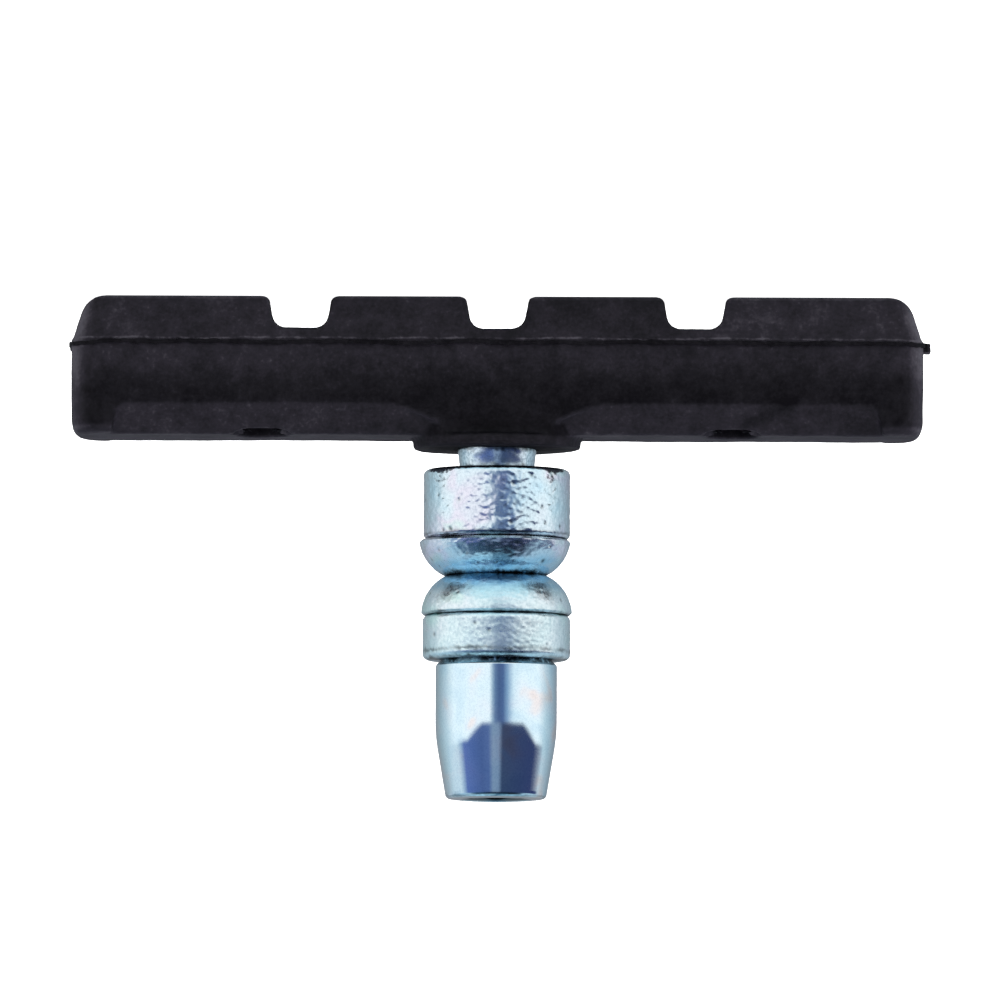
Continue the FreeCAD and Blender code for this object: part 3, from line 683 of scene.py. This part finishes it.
def bloom_and_light_at(place, normal):
    """How much pale bloom a place carries, with painted light and painted shade added to it."""
    x, y, z = place
    reach, _ = outside_plan(x, y)
    # The fin is dark: fresh rubber without bloom, and painted shade where the fin's shadow falls
    if reach > FIN_START and abs(z - PARTING_HEIGHT) < FIN_HALF_HEIGHT and x > GATE_START:
        return FIN_BLOOM_AND_SHADE
    if z < PARTING_HEIGHT:
        # Painted highlight along the rounded edge of the friction face, which faces down
        amount = WALL_BLOOM + 0.25 * ramp(-normal.z, 0.35, 0.75) * ramp(z, 0.7, 0.3)
        # Painted shade: the friction half darker towards the middle
        amount -= 0.1 * ramp(abs(x), 18.0, 14.0)
    elif z > BACK_HEIGHT + 0.1:
        amount = HUB_BLOOM
    else:
        # Painted shade: the flank darker up towards the chamfer
        amount = WALL_BLOOM - 0.34 * ramp(z, PARTING_HEIGHT + 0.8, CHAMFER_START - 0.4)
        # Painted shade: darker at the hub and towards one end
        amount -= 0.08 * ramp(abs(x), 15.0, 6.0) + 0.06 * ramp(-x, 8.0, 18.0)
        # Painted light: faces that tilt up, the chamfers and the rim of the back, are paler
        amount += 0.36 * ramp(normal.z, 0.2, 0.5) + 0.17 * ramp(normal.z, 0.75, 0.95)
        # Painted shade: the pins' scoops darkened, and a painted dark line of shade across one chamfer
        amount -= 1.2 * pin_scoop(place) + 0.25 * on_painted_shade_line(x, z)
    # Painted highlight: the ends paler where light rims them
    return amount + 0.5 * ramp(abs(normal.x), 0.4, 0.9) * ramp(abs(x), 31.0, 34.0)


finish_piece("moulded_block", block, moulded_rubber, "pad", "rubber_block",
             paint={"bloom_and_light": bloom_and_light_at}, sharp_degrees=60.0)

# %% [markdown]
# ## Steel strip
# The strip that anchors the stud is moulded into the rubber and shows only at the bottom of the two pin
# holes. Its CAD shape is right, so it only gets its material: mild steel as it leaves the rolls, with streaks
# along its length.

# %% Steel strip material
STREAK_MM, STREAK_STRETCH = 0.5, 0.15

rolled_steel = bpy.data.materials.new("rolled_mild_steel")
rolled_steel.use_nodes = True
tree = rolled_steel.node_tree
tree.nodes.clear()
place = add_node(tree, "ShaderNodeTexCoord").outputs["Object"]
along = add_node(tree, "ShaderNodeMapping", {"Vector": place, "Scale": (STREAK_STRETCH, 1.0, 1.0)}).outputs[0]
streaks = add_node(tree, "ShaderNodeTexNoise", {
    "Vector": along, "Scale": scale_for(STREAK_MM), "Detail": 3.0}).outputs["Fac"]
steel_colour = add_node(tree, "ShaderNodeValToRGB", {0: streaks}, stops=[
    (0.3, "#5f6064"), (0.7, "#85868a")]).outputs[0]
steel_haze = add_node(tree, "ShaderNodeMapRange", {0: streaks, 3: 0.35, 4: 0.55}).outputs[0]
steel_shader = add_node(tree, "ShaderNodeBsdfPrincipled", {
    "Base Color": steel_colour, "Metallic": 1.0, "Roughness": steel_haze})
add_node(tree, "ShaderNodeOutputMaterial", {"Surface": steel_shader.outputs[0]})
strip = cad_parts["backing_plate"]
strip.data.materials.clear()
strip.data.materials.append(rolled_steel)
print("strip:", len(strip.data.polygons), "faces")

# %% [markdown]
# ## Dents, dirt and painted shade
# The washers and the stud's collar are pressed and tumbled before plating, so their walls are dented all
# over. Reflections show every dent, so the dents are real: a fine mesh is pushed in and out by noise, and a
# few pits are pressed in deeper. Faces that touch another piece stay true.

# %% Dents and pits
PIT_MARGIN, PIT_SIZES, PIT_DEPTHS = 0.5, (0.09, 0.17), (0.03, 0.07)
DENT_MARGIN = 0.25


def pit_places(count, low, high, seed):
    """Pits scattered round a wall between two heights: angle, height, size and depth, in mm."""
    draw = random.Random(seed)
    return [(draw.uniform(0.0, FULL_TURN), draw.uniform(low + PIT_MARGIN, high - PIT_MARGIN),
             draw.uniform(*PIT_SIZES), draw.uniform(*PIT_DEPTHS)) for _ in range(count)]


def in_pits(place, pits):
    """The depth of the pits at a place, in mm."""
    radius, angle = place.xy.length, math.atan2(place.y, place.x)
    total = 0.0
    for pit_angle, pit_height, pit_size, pit_depth in pits:
        across = ((angle - pit_angle + math.pi) % FULL_TURN - math.pi) * radius
        apart = math.hypot(across, place.z - pit_height)
        if apart < 3 * pit_size:
            total += pit_depth * math.exp(-(apart / pit_size) ** 2)
    return total


def dent(shape, low, high, depth, wave_mm, pits, seed):
    """Dents the outer wall between two heights, and presses the pits into it."""
    shift = Vector((seed * 3.7, seed * 1.3, seed * 7.9))
    waves_across = Vector((1.0, 1.0, 1.4)) / wave_mm

    def relief(place, normal):
        facing = max(0.0, (place.x * normal.x + place.y * normal.y) / max(place.xy.length, 0.01))
        away = min(1.0, max(0.0, min(place.z - low, high - place.z)) / DENT_MARGIN)
        spot = place * waves_across + shift
        move = depth * (noise.noise(spot) + 0.5 * noise.noise(spot * 2.1)) - in_pits(place, pits)
        return move * facing * away

    push(shape, relief)


print("pits are", PIT_DEPTHS[0], "to", PIT_DEPTHS[1], "mm deep")

# %% Dirt and painted shade in the joints
PIT_GRIME_MOST, PIT_GRIME_GAIN = 0.8, 14.0


def grime_and_shade_in(joints, pits=()):
    """Dirt in pits, and dirt with painted shade in joints between touching pieces, each joint given as its
    height, the band's spread and its density.
    """
    def amount_at(place, normal):
        amount = min(PIT_GRIME_MOST, PIT_GRIME_GAIN * in_pits(place, pits))
        for joint_height, spread, density in joints:
            middle = joint_height + spread * (noise.noise(place * 1.1) + 0.7 * noise.noise(place * 3.7))
            ragged = spread * (1.0 + 0.8 * noise.noise(place * 1.3) + 0.6 * noise.noise(place * 4.0))
            patchy = density * min(1.0, max(0.3, 0.85 + 0.9 * noise.noise(place * 0.7)))
            amount = max(amount, patchy * math.exp(-((place.z - middle) / max(ragged, 0.02)) ** 2))
        return amount
    return amount_at


stud_low, stud_high = span("threaded_stud")
thick_low, thick_high = span("thick_cup_washer")
inner_low, inner_high = span("inner_dome_washer")
outer_low, outer_high = span("outer_dome_washer")
thin_low, thin_high = span("thin_cup_washer")
nut_low, nut_high = span("barrel_nut")
print("joints at", [round(low.z, 2) for low in (thick_low, inner_low, outer_low, thin_low, nut_low)], "mm")

# %% [markdown]
# ## Threaded stud
# A rolled M6 thread climbs 1 mm in each turn. A short zigzag, one pitch of the thread's outline, is spun
# round the axis and lifted as it goes, so that each turn closes on the one below. Planes cut the ends flat,
# and the tip gets its lead-in. The collar and the riveted root are turned, and a Boolean joins the two.

# %% Rolled thread
PITCH = 1.0
THREAD_CREST, THREAD_ROOT = 2.925, 2.385
THREAD_FOOT, THREAD_TIP = thick_low.z - 0.8, stud_high.z
THREAD_SPARE_TURNS, THREAD_START = 3, THREAD_FOOT - 2.0
LEAD_IN = 0.6
STEPS_PER_TURN = 72
# One pitch of the outline: its radius, and its height as a share of the pitch
ZIGZAG = [
    (THREAD_ROOT, 0.0), (THREAD_ROOT, 0.25),
    (THREAD_CREST, 0.5625), (THREAD_CREST, 0.6875), (THREAD_ROOT, 1.0),
]

turns = math.ceil((THREAD_TIP - THREAD_FOOT) / PITCH) + THREAD_SPARE_TURNS
thread = bmesh.new()
corners = [thread.verts.new((r * MM, 0.0, (THREAD_START + z * PITCH) * MM)) for r, z in ZIGZAG]
for lower, upper in zip(corners, corners[1:]):
    thread.edges.new((lower, upper))
bmesh.ops.spin(thread, geom=thread.verts[:] + thread.edges[:], cent=(0.0, 0.0, 0.0), axis=(0.0, 0.0, 1.0),
               dvec=(0.0, 0.0, PITCH * MM / STEPS_PER_TURN), angle=FULL_TURN * turns,
               steps=turns * STEPS_PER_TURN, use_merge=False)
bmesh.ops.remove_doubles(thread, verts=thread.verts, dist=0.001 * MM)
for cut_height, upwards in ((THREAD_FOOT, False), (THREAD_TIP, True)):
    bmesh.ops.bisect_plane(thread, geom=thread.verts[:] + thread.edges[:] + thread.faces[:], dist=0.0,
                           plane_co=(0.0, 0.0, cut_height * MM), plane_no=(0.0, 0.0, 1.0),
                           clear_outer=upwards, clear_inner=not upwards)
    rim = [edge for edge in thread.edges if edge.is_boundary
           and all(abs(v.co.z - cut_height * MM) < 0.0001 * MM for v in edge.verts)]
    bmesh.ops.edgeloop_fill(thread, edges=rim)
for vertex in thread.verts:
    radius = vertex.co.xy.length / MM
    allowed = THREAD_CREST - max(0.0, vertex.co.z / MM - (THREAD_TIP - LEAD_IN))
    if radius > allowed:
        vertex.co.xy *= allowed / radius
bmesh.ops.recalc_face_normals(thread, faces=thread.faces)
print("thread:", turns - THREAD_SPARE_TURNS, "turns,", len(thread.faces), "faces")

# %% Collar and riveted root
BOSS_TOP = span("rubber_block")[1].z
RIVET_RADIUS, RIVET_EDGE, STRIP_BOTTOM = stud_high.x, 0.3, span("backing_plate")[0].z
COLLAR_ROOT, COLLAR_END, COLLAR_EDGE = 3.25, 3.05, 0.12
STUD_SPACING, STUD_STEPS = 0.12, 192


def on_collar(middle):
    """Whether a place on the stud's section is on the collar's wall, which can be seen."""
    return middle.z > BOSS_TOP and middle.x > 2.0


stud = spin_section(half_section([
    (0.0, stud_low.z), (RIVET_RADIUS, stud_low.z, RIVET_EDGE), (RIVET_RADIUS, STRIP_BOTTOM),
    (COLLAR_ROOT, STRIP_BOTTOM), (COLLAR_ROOT, BOSS_TOP), (COLLAR_END, thick_low.z, COLLAR_EDGE),
    (0.0, thick_low.z),
]), STUD_SPACING, STUD_STEPS, on_collar)
dent(stud, BOSS_TOP, thick_low.z, depth=0.015, wave_mm=1.1, pits=[], seed=21)
thread_part = work_object("thread", thread)
stud = evaluated_shape(stud, ("BOOLEAN", {"operation": "UNION", "solver": "EXACT", "object": thread_part}))
bpy.data.objects.remove(thread_part)
# The collar's joints with the boss and the thick cup get dirt with painted shade
finish_piece("zinc_stud", stud, stud_zinc, "pad", "threaded_stud",
             paint={"grime_and_shade": grime_and_shade_in([(BOSS_TOP, 0.2, 0.9), (thick_low.z, 0.2, 0.9)])}, sharp_degrees=28.0)

# %% [markdown]
# ## Washers
# Each cup washer has a concave seat in one face, and each dome washer is a cap with a flat side. Their
# sections use the CAD model's heights and widths, so they go where the CAD pieces are.

# %% Washer sections
CUP_BORE, CUP_MOUTH, CUP_DEPTH, CUP_SEAT_RADIUS, CUP_EDGE = 3.0, 5.3, 0.94, 3.75, 0.5
DOME_NECK, DOME_BORE, DOME_EDGE, DOME_ARC = 4.15, 3.6, 0.2, 3.6


def cup_washer(low, high, seat_up):
    """Half a section of a spacer with a concave seat in its top or bottom face."""
    bottom, top, radius = low.z, high.z, high.y
    half_chord = Vector((CUP_MOUTH - CUP_BORE, CUP_DEPTH)) / 2
    rise = math.sqrt(CUP_SEAT_RADIUS ** 2 - half_chord.length_squared)
    sweep = math.degrees(2 * math.asin(half_chord.length / CUP_SEAT_RADIUS))
    along = half_chord.normalized()
    middle_radius = (CUP_MOUTH + CUP_BORE) / 2
    rim = [(radius, bottom, CUP_EDGE), (radius, top, CUP_EDGE)]
    if seat_up:
        centre = Vector((middle_radius, top - CUP_DEPTH / 2)) + Vector((-along.y, along.x)) * rise
        seat = [(CUP_MOUTH, top), ("arc", centre.x, centre.y, sweep)]
        return half_section([(CUP_BORE, bottom)] + rim + seat)
    centre = Vector((middle_radius, bottom + CUP_DEPTH / 2)) + Vector((-along.y, -along.x)) * rise
    seat = [(CUP_BORE, bottom + CUP_DEPTH), ("arc", centre.x, centre.y, sweep)]
    return half_section([(CUP_BORE, top)] + seat + rim)


def dome_washer(low, high, upwards):
    """Half a section of a domed washer whose flat side is below (upwards) or above."""
    side, flat = (1, low.z) if upwards else (-1, high.z)
    rim, rise = high.y, high.z - low.z
    start, end = Vector((rim, DOME_EDGE)), Vector((DOME_NECK, rise))
    chord = end - start
    inward = Vector((-chord.y, chord.x)).normalized()
    centre = (start + end) / 2 + inward * math.sqrt(DOME_ARC ** 2 - chord.length_squared / 4)
    sweep = math.degrees(2 * math.asin(chord.length / 2 / DOME_ARC))
    return half_section([
        (DOME_BORE, flat), (rim - DOME_EDGE, flat), (rim, flat + DOME_EDGE * side),
        ("arc", centre.x, flat + centre.y * side, -sweep * side), (DOME_BORE, flat + rise * side),
    ])


print(f"washers {2 * thick_high.y:.1f} mm across, domes {2 * DOME_NECK:.1f} mm at the neck")

# %% Washers
WASHER_SPACING, WASHER_STEPS, WASHER_SEEN_RADIUS = 0.115, 352, 4.0
# Painted reflection: a blue tint painted round the necks of the domes, growing towards the neck between these
# radii
NECK_REFLECTION_MOST, NECK_REFLECTION_START, NECK_REFLECTION_FULL = 0.85, 5.9, 5.3


def outer_wall(middle):
    """Whether a place on a section is on the part of a washer that can be seen."""
    return middle.x > WASHER_SEEN_RADIUS


def neck_blueing(place, normal):
    """How strong the painted blue reflection is: strongest at the neck of a dome, and patchy."""
    at_neck = NECK_REFLECTION_MOST * ramp(place.xy.length, NECK_REFLECTION_START, NECK_REFLECTION_FULL)
    return at_neck * min(1.0, 0.85 + 0.5 * noise.noise(place * 1.1))


def make_washer(name, node, body, section, material, seed, depth, wave_mm, pit_count, joints, **more_paint):
    """Spins a washer's section, dents it, moves it to where the CAD washer lies and finishes it."""
    low, high = span(node)
    shape = spin_section(section, WASHER_SPACING, WASHER_STEPS, outer_wall)
    pits = pit_places(pit_count, low.z, high.z, seed)
    dent(shape, low.z, high.z, depth, wave_mm, pits, seed)
    sideways = (low.x + high.x) / 2
    bmesh.ops.translate(shape, verts=shape.verts, vec=(sideways * MM, 0.0, 0.0))
    finish_piece(name, shape, material, body, node,
                 paint={"grime_and_shade": grime_and_shade_in(joints, pits), **more_paint})


# Each washer's joints get dirt with painted shade where it touches its neighbours
make_washer("thick_cup", "thick_cup_washer", "pad", cup_washer(thick_low, thick_high, seat_up=True),
            pressed_zinc, seed=3, depth=0.03, wave_mm=0.42, pit_count=26,
            joints=[(thick_low.z, 0.14, 0.9), (thick_high.z - 0.4, 0.1, 0.7), (thick_high.z, 0.12, 0.9)])
make_washer("inner_dome", "inner_dome_washer", "pad", dome_washer(inner_low, inner_high, upwards=True),
            drawn_zinc, seed=5, depth=0.032, wave_mm=0.55, pit_count=24,
            joints=[(inner_low.z, 0.10, 0.8), (inner_high.z, 0.2, 0.95)], blueing=neck_blueing)
make_washer("outer_dome", "outer_dome_washer", "outer_washers",
            dome_washer(outer_low, outer_high, upwards=False),
            tumbled_zinc, seed=8, depth=0.02, wave_mm=0.5, pit_count=16,
            joints=[(outer_low.z, 0.14, 0.9), (outer_high.z, 0.11, 0.85)], blueing=neck_blueing)
make_washer("thin_cup", "thin_cup_washer", "outer_washers", cup_washer(thin_low, thin_high, seat_up=False),
            tumbled_zinc, seed=11, depth=0.02, wave_mm=0.38, pit_count=20,
            joints=[(thin_low.z, 0.06, 0.7), (thin_high.z - 0.7, 0.14, 0.7), (thin_high.z, 0.14, 0.9)])

# %% [markdown]
# ## Barrel nut
# The nut is turned from bar, so it is far smoother than the washers: a plain barrel that runs in a soft curve
# into a tapered end. The hex socket is a six-sided bar cut out of the end, and its edges are left crisp.

# %% Barrel nut
NUT_FOOT, NUT_TIP = nut_low.z, nut_high.z
NUT_RADIUS, NUT_END_RADIUS, NUT_CHAMFER = nut_high.y, 4.125, 0.45
NUT_SHOULDER, SHOULDER_CURVE = NUT_FOOT + 6.2, 1.1
NUT_BORE, SOCKET_FLATS, SOCKET_DEPTH = 2.975, 5.0, 4.95
SOCKET_MOUTH, SOCKET_CORE, CORE_DROP = 3.05, 2.4, 0.6
NUT_SPACING, NUT_STEPS = 0.25, 256
HEX_BAR_LENGTH, HEX_BAR_MIDDLE = SOCKET_DEPTH + 0.6, NUT_TIP - SOCKET_DEPTH / 2 - 0.5

nut = spin_section(half_section([
    (NUT_BORE, NUT_FOOT), (NUT_RADIUS - NUT_CHAMFER, NUT_FOOT), (NUT_RADIUS, NUT_FOOT + NUT_CHAMFER, 0.15),
    (NUT_RADIUS, NUT_SHOULDER, SHOULDER_CURVE), (NUT_END_RADIUS, NUT_TIP - 0.1, 0.3),
    (SOCKET_MOUTH, NUT_TIP, 0.05), (SOCKET_CORE, NUT_TIP - 0.35), (SOCKET_CORE, NUT_TIP - CORE_DROP),
    (0.0, NUT_TIP - CORE_DROP), (0.0, NUT_TIP - SOCKET_DEPTH), (NUT_BORE, NUT_TIP - SOCKET_DEPTH),
]), NUT_SPACING, NUT_STEPS)
hex_bar = bmesh.new()
hex_corner = SOCKET_FLATS / math.sqrt(3) * MM
bmesh.ops.create_cone(hex_bar, cap_ends=True, segments=6, radius1=hex_corner, radius2=hex_corner,
                      depth=HEX_BAR_LENGTH * MM, matrix=Matrix.Translation((0.0, 0.0, HEX_BAR_MIDDLE * MM)))
hex_part = work_object("hex_bar", hex_bar)
nut = evaluated_shape(nut, ("BOOLEAN", {"operation": "DIFFERENCE", "solver": "EXACT", "object": hex_part}))
bpy.data.objects.remove(hex_part)
print("nut:", len(nut.faces), "faces")

# %% Dirt and painted shade on the nut
# Painted shade inside the bore and socket
BORE_SHADE = 0.85
# Two bands: dirt with painted shade where the foot meets the thin cup, and a painted dark reflection along
# the end's rounded rim
nut_joints = grime_and_shade_in([(NUT_FOOT, 0.22, 0.9), (NUT_TIP - 0.22, 0.1, 0.5)])


def nut_grime_and_shade(place, normal):
    """Dirt with painted shade at the nut's foot, a painted dark reflection at its rim, and painted shade all
    through its bore and socket.
    """
    inside = place.xy.length < NUT_BORE + 0.05 and place.z < NUT_TIP - 0.04
    return BORE_SHADE if inside else nut_joints(place, normal)


finish_piece("barrel_nut_turned", nut, turned_zinc, "nut", "barrel_nut",
             paint={"grime_and_shade": nut_grime_and_shade}, sharp_degrees=32.0)
